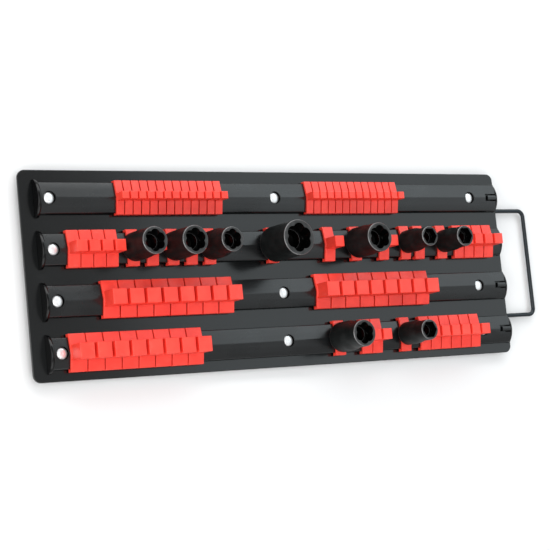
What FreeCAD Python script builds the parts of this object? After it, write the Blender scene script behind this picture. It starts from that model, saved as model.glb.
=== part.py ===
import FreeCAD, Part
import math
import os

from FreeCAD import Vector

# Socket tray: four clip rails on a flat steel plate, with red square-post clips,
# nine loose sockets and a wire handle that slides out from under one end.
# Millimetres.  +X runs along the rails towards the handle, +Y across the rails
# towards the quarter inch row, +Z up through the posts.  The origin is on the
# surface that the feet stand on, under the middle of the plate.

# ---- Driving dimensions: plate, feet and rivets ----
plate_length = 482.6
plate_width = 168.0
plate_thickness = 2.0
plate_corner_radius = 6.5
foot_height = 6.0
foot_diameter = 15.0
foot_inset = 13.0
foot_chamfer = 0.8
rivet_head_diameter = 9.6
rivet_head_height = 2.2
rivet_head_edge = 0.8
rivet_shank_diameter = 4.8
rivet_tail_diameter = 7.0
rivet_tail_height = 1.5
rivet_hole_clearance = 0.1
rivet_from_left_end = 8.5
rivet_from_right_end = 31.0
middle_rivet_x = -7.5

# ---- Driving dimensions: rails ----
row_side_margin = 22.5
row_offset = -0.8
rail_left_margin = 14.9
rail_right_margin = 3.7
rail_width = 25.0
rail_ridge_height = 7.4
rail_edge_height = 4.6
rail_edge_thickness = 1.6
rail_web_width = 19.0
rail_wall = 1.7
rail_floor = 1.5
rail_edge_chamfer = 0.5
rivet_access_diameter = 11.4
rivet_boss_diameter = 12.4
rivet_boss_height = 3.4

# ---- Driving dimensions: end caps ----
left_flange_thickness = 2.8
left_flange_overhang = 3.0
left_flange_rise = 3.2
left_plug_length = 2.1
left_block_length = 7.5
right_flange_thickness = 1.4
right_flange_overhang = 0.5
right_flange_rise = 1.4
right_plug_length = 14.5
right_block_length = 9.0
flange_side_height = 2.0
cap_plug_wall = 1.6
cap_fit_clearance = 0.12
window_length = 12.5
window_width = 6.8
tongue_length = 9.6
tongue_width = 4.2
tongue_thickness = 2.2
tongue_proud = 0.1

# ---- Driving dimensions: clips ----
quarter_clip_wall = 1.2
three_eighth_clip_wall = 2.25
half_clip_wall = 2.35
clip_running_clearance = 0.25
clip_roof_thickness = 1.95
clip_shoulder_drop = 3.1
clip_hook_height = 1.35
clip_hook_running_gap = 0.5
clip_gap = 0.2
quarter_clip_length = 7.1
three_eighth_clip_length = 10.95
half_clip_length = 14.65
quarter_post = 6.2
three_eighth_post = 9.35
half_post = 12.5
quarter_post_height = 9.6
three_eighth_post_height = 14.2
half_post_height = 15.0
post_chamfer = 0.3

# ---- Driving dimensions: sockets ----
drive_square = 9.6
drive_depth_clearance = 0.6
socket_seat_gap = 0.2
drive_through_hole = 6.0
recess_floor = 2.4
recess_depth_share = 0.86
relief_bore_share = 0.55
socket_base_chamfer = 0.9
socket_mouth_chamfer = 0.8
lobe_reach = 0.81
lobe_flank = 0.76
lobe_root = 0.67
lobe_twist = 24.0
lobe_twist_steps = 3
hex_across_flats_share = 0.74
socket_gap = 0.5

# ---- Driving dimensions: handle and its guides ----
handle_wire = 3.8
handle_reach = 36.5
handle_leg_side_margin = 34.5
handle_bend_radius = 6.0
handle_toe_length = 10.0
handle_toe_radius = 5.0
handle_plate_gap = 0.2
guide_thickness = 1.2
guide_length = 12.0
guide_flange = 6.0
guide_clearance = 0.15
front_guide_inset = 7.3
rear_guide_inset = 43.3
toe_stop_gap = 0.3

# ---- Places worked out from the driving dimensions ----
deck = foot_height + plate_thickness
half_plate = plate_length / 2
rail_left = -half_plate + rail_left_margin
rail_right = half_plate - rail_right_margin
row_pitch = (plate_width - 2 * row_side_margin) / 3
row_y = [row_pitch * step + row_offset for step in (1.5, 0.5, -0.5, -1.5)]
roof_slope = (rail_ridge_height - rail_edge_height) / (rail_width / 2)
clip_ridge = rail_ridge_height + clip_running_clearance + clip_roof_thickness
socket_base_z = deck + clip_ridge + socket_seat_gap

# One entry per size of clip: length along the rail, wall, post side, post height.
CLIP_SIZES = {
    "quarter": (
        quarter_clip_length, quarter_clip_wall, quarter_post, quarter_post_height),
    "three_eighth": (
        three_eighth_clip_length, three_eighth_clip_wall, three_eighth_post, three_eighth_post_height),
    "half": (
        half_clip_length, half_clip_wall, half_post, half_post_height),
}

# One entry per socket: base and mouth diameters, length, height of the plain
# base below the taper, and whether the mouth is lobed or a hexagon.
SOCKETS = {
    "socket_22": (23.6, 22.3, 35.5, 16.0, "lobed"),
    "socket_23": (24.2, 23.5, 35.5, 16.0, "lobed"),
    "socket_20": (24.2, 20.6, 35.0, 15.0, "lobed"),
    "socket_30": (30.2, 30.0, 38.5, 14.0, "lobed"),
    "socket_26": (26.8, 25.3, 33.5, 15.0, "lobed"),
    "socket_17": (20.4, 17.3, 34.0, 14.0, "hex"),
    "socket_18": (20.4, 18.4, 32.0, 14.0, "hex"),
    "socket_23_short": (26.0, 22.8, 34.5, 14.0, "lobed"),
    "socket_18_short": (20.4, 17.8, 33.0, 14.0, "hex"),
}

# Each row from left to right.  An entry is the node's name, the size of clip, how
# many clips stand in it and the gap between them, the socket on it and its free
# travel to the left, beyond the closest it can come to its neighbour.  The last
# number is what is left free before the right end cap.  A longer or shorter rail
# shares its travel in proportion.
ROWS = [
    ([
        ("quarter_clips_left", "quarter", 13, 0.58, None, 58.19),
        ("quarter_clips_right", "quarter", 13, 0.52, None, 84.41),
    ], 106.5),
    ([
        ("three_eighth_clips_left", "three_eighth", 4, 0.3, None, 11.73),
        ("clip_socket_22", "three_eighth", 1, clip_gap, "socket_22", 2.22),
        ("spare_clip_1", "three_eighth", 1, clip_gap, None, 0.33),
        ("clip_socket_23", "three_eighth", 1, clip_gap, "socket_23", 1.92),
        ("spare_clip_2", "three_eighth", 1, clip_gap, None, 0.02),
        ("clip_socket_20", "three_eighth", 1, clip_gap, "socket_20", 0.33),
        ("clip_socket_30", "three_eighth", 1, clip_gap, "socket_30", 34.7),
        ("spare_clip_3", "three_eighth", 1, clip_gap, None, 37.62),
        ("clip_socket_26", "three_eighth", 1, clip_gap, "socket_26", 10.03),
        ("spare_clip_4", "three_eighth", 1, clip_gap, None, 10.92),
        ("clip_socket_17", "three_eighth", 1, clip_gap, "socket_17", 9.23),
        ("spare_clip_5", "three_eighth", 1, clip_gap, None, 0.12),
        ("clip_socket_18", "three_eighth", 1, clip_gap, "socket_18", 10.53),
        ("three_eighth_clips_right", "three_eighth", 4, 0.68, None, 3.83),
    ], 1.58),
    ([
        ("half_clips_upper_left", "half", 8, 0.57, None, 38.64),
        ("half_clips_upper_right", "half", 8, 0.76, None, 82.55),
    ], 82.0),
    ([
        ("half_clips_lower_left", "half", 8, 0.39, None, 6.3),
        ("clip_socket_23_short", "three_eighth", 1, clip_gap, "socket_23_short", 124.5),
        ("spare_clip_pair", "three_eighth", 2, 0.4, None, 9.87),
        ("clip_socket_18_short", "three_eighth", 1, clip_gap, "socket_18_short", 16.12),
        ("three_eighth_clips_lower", "three_eighth", 6, 0.6, None, 6.25),
    ], 28.2),
]

os.makedirs("parts", exist_ok=True)


def save(name, shape):
    """Write one node's STEP file."""
    shape.exportStep("parts/" + name + ".step")


def prism_along_x(half_outline, x_start, length, y_centre):
    """Extrude along X a cross-section that is symmetrical about y_centre.

    half_outline runs from the ridge down one side, as (distance from the
    centre, height above the plate).  The other side is its mirror image."""
    side = [(y_centre + y, deck + z) for y, z in half_outline]
    mirrored = [(y_centre - y, deck + z) for y, z in reversed(half_outline)]
    outline = [Vector(x_start, y, z) for y, z in side]
    for y, z in mirrored:
        point = Vector(x_start, y, z)
        if point.distanceToPoint(outline[-1]) > 1e-6 and point.distanceToPoint(outline[0]) > 1e-6:
            outline.append(point)
    face = Part.Face(Part.makePolygon(outline + [outline[0]]))
    return face.extrude(Vector(length, 0, 0))


def box(x_low, x_high, y_low, y_high, z_low, z_high):
    """A box given by its low and high corners."""
    return Part.makeBox(x_high - x_low, y_high - y_low, z_high - z_low, Vector(x_low, y_low, z_low))


def turned(profile, centre):
    """Revolve a closed (radius, height) profile about the vertical through centre."""
    points = [Vector(radius, 0, height) for radius, height in profile]
    face = Part.Face(Part.makePolygon(points + [points[0]]))
    solid = face.revolve(Vector(0, 0, 0), Vector(0, 0, 1), 360)
    solid.translate(centre)
    return solid


# ---- Plate: flat sheet with rounded corners and one hole per rivet ----

def rivet_places():
    """Centres of the twelve rivets in plan."""
    along = [rail_left + rivet_from_left_end, middle_rivet_x, rail_right - rivet_from_right_end]
    return [(x, y) for y in row_y for x in along]


def base_plate():
    sheet = box(-half_plate, half_plate, -plate_width / 2, plate_width / 2, foot_height, deck)
    corners = [edge for edge in sheet.Edges if abs(edge.BoundBox.ZLength - plate_thickness) < 1e-6]
    sheet = sheet.makeFillet(plate_corner_radius, corners)
    radius = rivet_shank_diameter / 2 + rivet_hole_clearance
    for x, y in rivet_places():
        hole = Part.makeCylinder(radius, plate_thickness, Vector(x, y, foot_height))
        sheet = sheet.cut(hole)
    return sheet


def rubber_feet():
    """One foot near each corner and one under the middle, bonded to the plate."""
    radius = foot_diameter / 2
    profile = [
        (0, 0),
        (radius - foot_chamfer, 0),
        (radius, foot_chamfer),
        (radius, foot_height),
        (0, foot_height),
    ]
    x_foot = half_plate - foot_inset
    y_foot = plate_width / 2 - foot_inset
    places = [(0, 0)] + [(sx * x_foot, sy * y_foot) for sx in (-1, 1) for sy in (-1, 1)]
    return Part.makeCompound([turned(profile, Vector(x, y, 0)) for x, y in places])


# ---- Rails: hollow roofed section whose edges overhang, for the clips to hook under ----

def roof_height(distance, above=0.0):
    """Height of the rail's roof above the plate, at a distance from its ridge."""
    return rail_ridge_height - roof_slope * distance + above


def rail(y_centre):
    half_width = rail_width / 2
    half_web = rail_web_width / 2
    edge_underside = rail_edge_height - rail_edge_thickness
    outer = [
        (0, rail_ridge_height),
        (half_width - rail_edge_chamfer, roof_height(half_width - rail_edge_chamfer)),
        (half_width, rail_edge_height - rail_edge_chamfer),
        (half_width, edge_underside),
        (half_web, edge_underside),
        (half_web, 0),
    ]
    inner_half = half_web - rail_wall
    hollow = [
        (0, roof_height(0, -rail_wall)),
        (inner_half, roof_height(inner_half, -rail_wall)),
        (inner_half, rail_floor),
    ]
    length = rail_right - rail_left
    body = prism_along_x(outer, rail_left, length, y_centre)
    body = body.cut(prism_along_x(hollow, rail_left, length, y_centre))
    for x, y in rivet_places():
        if y == y_centre:
            boss = Part.makeCylinder(
                rivet_boss_diameter / 2, rivet_boss_height, Vector(x, y, deck))
            access = Part.makeCylinder(
                rivet_access_diameter / 2, rail_ridge_height, Vector(x, y, deck + rivet_boss_height))
            shank = Part.makeCylinder(
                rivet_shank_diameter / 2 + rivet_hole_clearance, rivet_boss_height, Vector(x, y, deck))
            body = body.fuse(boss).cut(access).cut(shank)
    return body.cut(roof_window(y_centre))


def roof_window(y_centre):
    """Slot at the rail's right end, through the roofs of rail and plug."""
    return box(rail_right - window_length, rail_right, y_centre - window_width / 2,
               y_centre + window_width / 2, deck + rail_floor + rail_wall, deck + rail_ridge_height)


def rail_rivets():
    """Domed rivets with flared tails that hold each rail's bosses to the plate."""
    head_z = deck + rivet_boss_height
    head = rivet_head_diameter / 2
    shank = rivet_shank_diameter / 2
    tail = rivet_tail_diameter / 2
    tail_z = foot_height - rivet_tail_height
    dome_height = rivet_head_height - rivet_head_edge
    dome = [(head * math.cos(angle), head_z + rivet_head_edge + dome_height * math.sin(angle))
            for angle in (0, math.pi / 5)]
    profile = [(0, tail_z), (tail, tail_z), (shank, foot_height), (shank, head_z), (head, head_z)]
    profile += dome + [(0, head_z + rivet_head_height)]
    return Part.makeCompound([turned(profile, Vector(x, y, 0)) for x, y in rivet_places()])


# ---- End caps: arched flange that stops the clips, with a plug in the rail ----

def flange(x_start, thickness, overhang, rise, y_centre):
    """Arched plate across the end of a rail."""
    half = rail_width / 2 + overhang
    low_left = Vector(x_start, y_centre - half, deck)
    high_left = Vector(x_start, y_centre - half, deck + flange_side_height)
    crown = Vector(x_start, y_centre, deck + rail_ridge_height + rise)
    high_right = Vector(x_start, y_centre + half, deck + flange_side_height)
    low_right = Vector(x_start, y_centre + half, deck)
    edges = [
        Part.makeLine(low_left, high_left),
        Part.Arc(high_left, crown, high_right).toShape(),
        Part.makeLine(high_right, low_right),
        Part.makeLine(low_right, low_left),
    ]
    return Part.Face(Part.Wire(edges)).extrude(Vector(thickness, 0, 0))


def cap_plug(x_start, length, y_centre):
    """Hollow plug that fills the mouth of the rail, clear of its walls."""
    half = rail_web_width / 2 - rail_wall - cap_fit_clearance
    top = -rail_wall - cap_fit_clearance
    outer = [
        (0, roof_height(0, top)),
        (half, roof_height(half, top)),
        (half, rail_floor + cap_fit_clearance),
    ]
    half_inner = half - cap_plug_wall
    top_inner = top - cap_plug_wall
    inner = [
        (0, roof_height(0, top_inner)),
        (half_inner, roof_height(half_inner, top_inner)),
        (half_inner, rail_floor + cap_fit_clearance),
    ]
    plug = prism_along_x(outer, x_start, length, y_centre)
    return plug.cut(prism_along_x(inner, x_start, length, y_centre))


def edge_blocks(x_start, length, y_centre):
    """Blocks under the rail's two edges, where they stop the hooks of the clips."""
    inside = rail_web_width / 2 + cap_fit_clearance
    outside = rail_width / 2
    top = deck + rail_edge_height - rail_edge_thickness - cap_fit_clearance
    return [box(x_start, x_start + length, y_centre + low, y_centre + high, deck, top)
            for low, high in ((-outside, -inside), (inside, outside))]


def left_end_cap(y_centre):
    cap = flange(rail_left - left_flange_thickness, left_flange_thickness,
                 left_flange_overhang, left_flange_rise, y_centre)
    pieces = [cap_plug(rail_left, left_plug_length, y_centre)]
    pieces += edge_blocks(rail_left, left_block_length, y_centre)
    return cap.multiFuse(pieces).removeSplitter()


def right_end_cap(y_centre):
    """Cap whose snap tongue stands in the window of the rail's roof."""
    cap = flange(rail_right, right_flange_thickness, right_flange_overhang, right_flange_rise, y_centre)
    plug = cap_plug(rail_right - right_plug_length, right_plug_length, y_centre)
    half = tongue_width / 2
    tongue_outline = [
        (0, roof_height(0, tongue_proud)),
        (half, roof_height(half, tongue_proud)),
        (half, roof_height(half, tongue_proud - tongue_thickness)),
    ]
    tongue = prism_along_x(tongue_outline, rail_right - tongue_length, tongue_length, y_centre)
    pieces = [plug.cut(roof_window(y_centre)), tongue]
    pieces += edge_blocks(rail_right - right_block_length, right_block_length, y_centre)
    return cap.multiFuse(pieces).removeSplitter()


# ---- Clips: moulded saddles that hook under the rail's edges, with a square post ----

def clip(x_centre, y_centre, size):
    length, wall, post, post_height = CLIP_SIZES[size]
    inner_half = rail_width / 2 + clip_running_clearance
    half = inner_half + wall
    shoulder = clip_ridge - clip_shoulder_drop
    edge_underside = rail_edge_height - rail_edge_thickness
    hook_top = edge_underside - clip_running_clearance
    hook_low = hook_top - clip_hook_height
    hook_half = rail_web_width / 2 + clip_hook_running_gap
    outline = [
        (0, clip_ridge),
        (half, shoulder),
        (half, hook_low),
        (hook_half, hook_top),
        (inner_half, hook_top),
        (inner_half, roof_height(inner_half, clip_running_clearance)),
        (0, roof_height(0, clip_running_clearance)),
    ]
    x_start = x_centre - length / 2
    side = [Vector(x_start, y_centre + y, deck + z) for y, z in outline]
    mirror = [Vector(x_start, y_centre - y, deck + z) for y, z in outline[-2:0:-1]]
    saddle = Part.Face(Part.makePolygon(side + mirror + [side[0]])).extrude(Vector(length, 0, 0))
    half_post_side = post / 2
    post_foot = deck + roof_height(0, clip_running_clearance + clip_roof_thickness / 2)
    post_top = deck + clip_ridge + post_height
    column = box(x_centre - half_post_side, x_centre + half_post_side,
                 y_centre - half_post_side, y_centre + half_post_side, post_foot, post_top)
    rim = [edge for edge in column.Edges if edge.BoundBox.ZMin > post_top - 1e-6]
    column = column.makeChamfer(post_chamfer, rim)
    return saddle.fuse(column).removeSplitter()


def clip_run(x_first, y_centre, size, count, gap):
    """Clips side by side on a rail, with the first one's post at x_first."""
    pitch = CLIP_SIZES[size][0] + gap
    return [clip(x_first + pitch * i, y_centre, size) for i in range(count)]


# ---- Sockets: square drive below, then a relief bore, and a nut recess above ----

def recess_outline(x, y, z, mouth_radius, kind, turn):
    """Corners of the nut recess at one height: six lobes between cusps, or a hexagon."""
    if kind == "hex":
        radii = [mouth_radius * hex_across_flats_share / math.cos(math.pi / 6)]
    else:
        radii = [mouth_radius * share for share in (lobe_root, lobe_flank, lobe_reach, lobe_flank)]
    steps = 6 * len(radii)
    corners = []
    for i in range(steps):
        angle = math.radians(360 * i / steps + turn)
        radius = radii[i % len(radii)]
        corners.append(Vector(x + radius * math.cos(angle), y + radius * math.sin(angle), z))
    return corners


def flat_face(corners):
    return Part.Face(Part.makePolygon(corners + [corners[0]]))


def wound_recess(x, y, z_low, z_high, mouth_radius):
    """Lobes that wind up the socket in flat facets, to bite on a worn nut."""
    levels = [i / lobe_twist_steps for i in range(lobe_twist_steps + 1)]
    rings = [recess_outline(x, y, z_low + (z_high - z_low) * level, mouth_radius, "lobed",
                            lobe_twist * level) for level in levels]
    faces = [flat_face(rings[0]), flat_face(rings[-1])]
    for low, high in zip(rings, rings[1:]):
        for i in range(len(low)):
            k = (i + 1) % len(low)
            faces.append(flat_face([low[i], low[k], high[k]]))
            faces.append(flat_face([low[i], high[k], high[i]]))
    return Part.Solid(Part.Shell(faces))


def nut_recess(x, y, z_low, z_high, mouth_radius, kind):
    if kind == "lobed":
        return wound_recess(x, y, z_low, z_high, mouth_radius)
    hexagon = flat_face(recess_outline(x, y, z_low, mouth_radius, kind, 0))
    return hexagon.extrude(Vector(0, 0, z_high - z_low))


def socket(name, x, y):
    base_diameter, mouth_diameter, length, taper_start, kind = SOCKETS[name]
    base = base_diameter / 2
    mouth = mouth_diameter / 2
    profile = [
        (0, 0),
        (base - socket_base_chamfer, 0),
        (base, socket_base_chamfer),
        (base, taper_start),
        (mouth, taper_start + (length - taper_start) * 0.45),
        (mouth, length - socket_mouth_chamfer),
        (mouth - socket_mouth_chamfer, length),
        (0, length),
    ]
    body = turned(profile, Vector(x, y, socket_base_z))
    drive_depth = three_eighth_post_height + drive_depth_clearance
    half_drive = drive_square / 2
    drive = box(x - half_drive, x + half_drive, y - half_drive, y + half_drive,
                socket_base_z, socket_base_z + drive_depth)
    z_floor = socket_base_z + drive_depth + recess_floor
    z_step = socket_base_z + length - mouth * recess_depth_share
    through = Part.makeCylinder(drive_through_hole / 2, z_floor - socket_base_z, Vector(x, y, socket_base_z))
    relief = Part.makeCylinder(mouth * relief_bore_share, z_step - z_floor, Vector(x, y, z_floor))
    recess = nut_recess(x, y, z_step, socket_base_z + length, mouth, kind)
    return body.cut(drive).cut(through).cut(relief).cut(recess)


# ---- Filling the rows: pieces at their closest, plus their share of the free travel ----

def half_reach(size, socket_name):
    """Half the length of a clip, and half of what stands on it."""
    length, _, post, _ = CLIP_SIZES[size]
    upper = post if socket_name is None else SOCKETS[socket_name][0]
    return length / 2, upper / 2


def first_posts(entries, last_travel):
    """Middle of the first post of each entry of a row."""
    travels = [entry[-1] for entry in entries] + [last_travel]
    closest = []
    reach = 0
    for name, size, count, gap, socket_name, travel in entries:
        saddle, upper = half_reach(size, socket_name)
        if not closest:
            reach += max(left_block_length + clip_gap + saddle, clip_gap + upper)
        else:
            reach += max(last_saddle + clip_gap + saddle, last_upper + socket_gap + upper)
        closest.append(reach)
        reach += (CLIP_SIZES[size][0] + gap) * (count - 1)
        last_saddle, last_upper = saddle, upper
    reach += max(right_block_length + clip_gap + last_saddle, clip_gap + last_upper)
    share = (rail_right - rail_left - reach) / sum(travels)
    return [rail_left + closest[i] + share * sum(travels[:i + 1]) for i in range(len(entries))]


def fill_row(row, y_centre):
    entries, last_travel = row
    for entry, x_first in zip(entries, first_posts(entries, last_travel)):
        name, size, count, gap, socket_name, travel = entry
        save(name, Part.makeCompound(clip_run(x_first, y_centre, size, count, gap)))
        if socket_name is not None:
            save(socket_name, socket(socket_name, x_first, y_centre))


# ---- Handle: bent wire that slides in strap guides under the plate ----

wire_z = foot_height - handle_plate_gap - handle_wire / 2
leg_y = plate_width / 2 - handle_leg_side_margin
bar_x = half_plate + handle_reach
guide_low_x = [half_plate - front_guide_inset - guide_length, half_plate - rear_guide_inset - guide_length]
toe_x = guide_low_x[1] - toe_stop_gap - handle_toe_radius


def straight_wire(start, end):
    """Round bar between two points."""
    return Part.makeCylinder(handle_wire / 2, (end - start).Length, start, end - start)


def bent_wire(before, corner, after, radius):
    """Quarter bend of round bar that joins two straight runs at a corner."""
    back = (before - corner).normalize()
    ahead = (after - corner).normalize()
    enter = corner + back * radius
    centre = enter + ahead * radius
    section = Part.Face(Part.Wire(Part.makeCircle(handle_wire / 2, enter, back)))
    return section.revolve(centre, ahead.cross(back), 90), enter, corner + ahead * radius


def carry_handle():
    """Two legs, a grip bar and inward toes that stop the legs in their guides."""
    route = [
        Vector(toe_x, leg_y - handle_toe_length, wire_z),
        Vector(toe_x, leg_y, wire_z),
        Vector(bar_x, leg_y, wire_z),
        Vector(bar_x, -leg_y, wire_z),
        Vector(toe_x, -leg_y, wire_z),
        Vector(toe_x, -leg_y + handle_toe_length, wire_z),
    ]
    radii = [handle_toe_radius, handle_bend_radius, handle_bend_radius, handle_toe_radius]
    start = route[0]
    pieces = []
    for i, radius in enumerate(radii, start=1):
        bend, enter, leave = bent_wire(route[i - 1], route[i], route[i + 1], radius)
        pieces += [straight_wire(start, enter), bend]
        start = leave
    pieces.append(straight_wire(start, route[-1]))
    return pieces[0].multiFuse(pieces[1:])


def guide_strap(x_low, y_centre):
    """Hat-shaped strap under the plate, welded by its two flanges."""
    inside = handle_wire / 2 + guide_clearance
    bridge = wire_z - inside
    top = foot_height
    outer_half = inside + guide_thickness
    outline = [
        (-outer_half - guide_flange, top),
        (-outer_half - guide_flange, top - guide_thickness),
        (-outer_half, top - guide_thickness),
        (-outer_half, bridge - guide_thickness),
        (outer_half, bridge - guide_thickness),
        (outer_half, top - guide_thickness),
        (outer_half + guide_flange, top - guide_thickness),
        (outer_half + guide_flange, top),
        (inside, top),
        (inside, bridge),
        (-inside, bridge),
        (-inside, top),
    ]
    points = [Vector(x_low, y_centre + y, z) for y, z in outline]
    return Part.Face(Part.makePolygon(points + [points[0]])).extrude(Vector(guide_length, 0, 0))


def handle_guides():
    straps = [guide_strap(x, y) for x in guide_low_x for y in (-leg_y, leg_y)]
    return Part.makeCompound(straps)


save("base_plate", base_plate())
save("rubber_feet", rubber_feet())
save("rail_rivets", rail_rivets())
save("handle_guides", handle_guides())
save("carry_handle", carry_handle())
for number, y in enumerate(row_y, start=1):
    save("rail_%d" % number, rail(y))
    save("left_end_cap_%d" % number, left_end_cap(y))
    save("right_end_cap_%d" % number, right_end_cap(y))
    fill_row(ROWS[number - 1], y)
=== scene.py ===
import math

import bmesh
import bpy
from mathutils import Matrix, Vector


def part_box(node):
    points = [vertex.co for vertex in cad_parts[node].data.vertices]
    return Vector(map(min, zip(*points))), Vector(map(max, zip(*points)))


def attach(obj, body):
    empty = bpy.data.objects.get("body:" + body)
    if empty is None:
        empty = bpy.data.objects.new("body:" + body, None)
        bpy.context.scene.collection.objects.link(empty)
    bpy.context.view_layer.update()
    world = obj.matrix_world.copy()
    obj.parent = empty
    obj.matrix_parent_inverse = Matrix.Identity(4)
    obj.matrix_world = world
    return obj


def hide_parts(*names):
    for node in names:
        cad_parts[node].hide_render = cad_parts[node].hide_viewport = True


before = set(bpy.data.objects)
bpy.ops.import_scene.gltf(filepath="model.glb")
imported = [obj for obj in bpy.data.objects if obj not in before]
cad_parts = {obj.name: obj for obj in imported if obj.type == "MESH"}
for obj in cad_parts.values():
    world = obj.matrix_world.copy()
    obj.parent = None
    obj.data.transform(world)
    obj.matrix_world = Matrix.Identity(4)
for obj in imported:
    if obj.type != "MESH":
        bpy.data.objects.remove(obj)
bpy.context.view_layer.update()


# ---- Camera ----
# High above the tray's left end, with a long lens, looking down its length
# towards the handle.

camera_data = bpy.data.cameras.new("camera")
camera_data.lens = 106.885
camera_data.sensor_width = 36.0
camera_data.clip_start = 0.01
camera_data.clip_end = 50.0
camera = bpy.data.objects.new("camera", camera_data)
camera_right = (0.84063, -0.09791, 0.53268)
camera_up = (0.02547, 0.98958, 0.14169)
camera_back = (-0.54101, -0.10554, 0.83437)
turn = Matrix((camera_right, camera_up, camera_back)).transposed()
camera.matrix_world = Matrix.Translation((-0.76397, -0.15206, 1.16906)) @ turn.to_4x4()
bpy.context.scene.collection.objects.link(camera)
bpy.context.scene.camera = camera


# ---- Base plate ----
# One sheet of 2 mm steel, sheared with rounded corners, its edges broken, then
# powder coated a satin charcoal.  The rails are riveted to it, the feet bonded
# and the handle's straps welded.

MM = 0.001  # sizes below are in millimetres, meshes in metres


class Shade:
    """One output of a material's nodes.  Arithmetic on it adds Math nodes."""

    def __init__(self, socket):
        self.socket = socket

    def node(self, kind, settings, sockets, output=0):
        """Add any other node: its settings first, then values or links of its sockets."""
        tree = self.socket.id_data
        made = tree.nodes.new(kind)
        for name, value in settings.items():
            setattr(made, name, value)
        for name, value in sockets.items():
            if isinstance(value, Shade):
                tree.links.new(value.socket, made.inputs[name])
            else:
                made.inputs[name].default_value = value
        return Shade(made.outputs[output])

    def math(self, operation, first, second):
        return self.node("ShaderNodeMath", {"operation": operation}, {0: first, 1: second})

    def __add__(self, other):
        return self.math("ADD", self, other)

    __radd__ = __add__

    def __mul__(self, other):
        return self.math("MULTIPLY", self, other)

    __rmul__ = __mul__

    def __sub__(self, other):
        return self.math("SUBTRACT", self, other)

    def __rsub__(self, other):
        return self.math("SUBTRACT", other, self)

    def noise(self, grain, detail=2.0, roughness=0.5):
        """Cloudy pattern from 0 to 1 whose patches are about grain millimetres across."""
        return self.node("ShaderNodeTexNoise", {"noise_dimensions": "3D"},
                         {"Vector": self, "Scale": 1000.0 / grain, "Detail": detail,
                          "Roughness": roughness})

    def between(self, low, high):
        """0 below low, 1 above high, smooth between."""
        return self.node("ShaderNodeMapRange", {"interpolation_type": "SMOOTHSTEP"},
                         {0: self, 1: low, 2: high})

    def blend(self, first, second):
        """Colour that goes from first to second as this goes from 0 to 1."""
        return self.node("ShaderNodeMix", {"data_type": "RGBA"},
                         {0: self, 6: first, 7: second}, output=2)


def start_finish(name):
    """A new material, its shader, and where on the object a point lies."""
    material = bpy.data.materials.new(name)
    material.use_nodes = True
    tree = material.node_tree
    shader = tree.nodes["Principled BSDF"]
    place = Shade(tree.nodes.new("ShaderNodeTexCoord").outputs["Object"])
    return material, shader, place


def set_finish(shader, **sockets):
    """Feed the shader: constants are set on its sockets, what varies is linked."""
    tree = shader.id_data
    for name, value in sockets.items():
        target = shader.inputs[name.replace("_", " ")]
        if isinstance(value, Shade):
            tree.links.new(value.socket, target)
        else:
            target.default_value = value


def bumped(height, strength, depth):
    """Surface relief, depth millimetres deep where height goes from 0 to 1."""
    return height.node("ShaderNodeBump", {}, {"Height": height, "Strength": strength,
                                              "Distance": depth * MM})


def powder_coat(name, dark, light):
    """Baked powder: orange-peel skin, slow drift in tone, and a few pale scuffs."""
    material, shader, place = start_finish(name)
    drift = place.noise(60.0, 2.0)
    skin = place.noise(1.6, 3.0, 0.55)
    streaks = place.node("ShaderNodeMapping", {}, {"Vector": place, "Scale": (0.12, 1.0, 1.0)})
    scuff = (streaks.noise(2.2, 4.0, 0.62) * place.noise(24.0, 1.0)).between(0.40, 0.50)
    tone = (drift * 0.55 + skin * 0.45).between(0.30, 0.72)
    colour = tone.blend(dark, light)
    worn = tuple(part * 1.6 + 0.006 for part in light[:3]) + (1.0,)
    set_finish(shader, Base_Color=(scuff * 0.30).blend(colour, worn),
               Roughness=0.12 + drift * 0.05 + skin * 0.05 - scuff * 0.02,
               Specular_IOR_Level=0.56, Normal=bumped(skin, 0.25, 0.03))
    return material


def smooth_mesh(mesh, sharp_degrees=32.0):
    """Smooth shading that stays crisp at sharp edges and round large flat faces."""
    bm = bmesh.new()
    bm.from_mesh(mesh)
    for face in bm.faces:
        face.smooth = True
    for edge in bm.edges:
        if len(edge.link_faces) == 2:
            angle = math.degrees(edge.calc_face_angle(0.0))
            small, large = sorted(face.calc_area() for face in edge.link_faces)
            edge.smooth = angle < 7.0 or (angle < sharp_degrees and large < 6.0 * small)
    bm.to_mesh(mesh)
    bm.free()


def new_piece(name, mesh, material):
    """Put a finished mesh into the scene with its material."""
    piece = bpy.data.objects.new(name, mesh)
    bpy.context.scene.collection.objects.link(piece)
    mesh.materials.clear()
    mesh.materials.append(material)
    return piece


def ringed_mesh(name, rings, closed_loop=False):
    """Skin of quads over rings of equally many points, capped or joined end to end."""
    bm = bmesh.new()
    loops = [[bm.verts.new(point) for point in ring] for ring in rings]
    pairs = list(zip(loops, loops[1:]))
    if closed_loop:
        pairs.append((loops[-1], loops[0]))
    for low, high in pairs:
        for i in range(len(low)):
            k = (i + 1) % len(low)
            bm.faces.new((low[i], low[k], high[k], high[i]))
    if not closed_loop:
        bm.faces.new(list(reversed(loops[0])))
        bm.faces.new(loops[-1])
    bmesh.ops.recalc_face_normals(bm, faces=bm.faces)
    mesh = bpy.data.meshes.new(name)
    bm.to_mesh(mesh)
    bm.free()
    return mesh


plate_length, plate_width, plate_thickness, plate_corner = 482.6, 168.0, 2.0, 6.5
foot_height = 6.0
deck = foot_height + plate_thickness
broken_edge = 0.45


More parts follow.
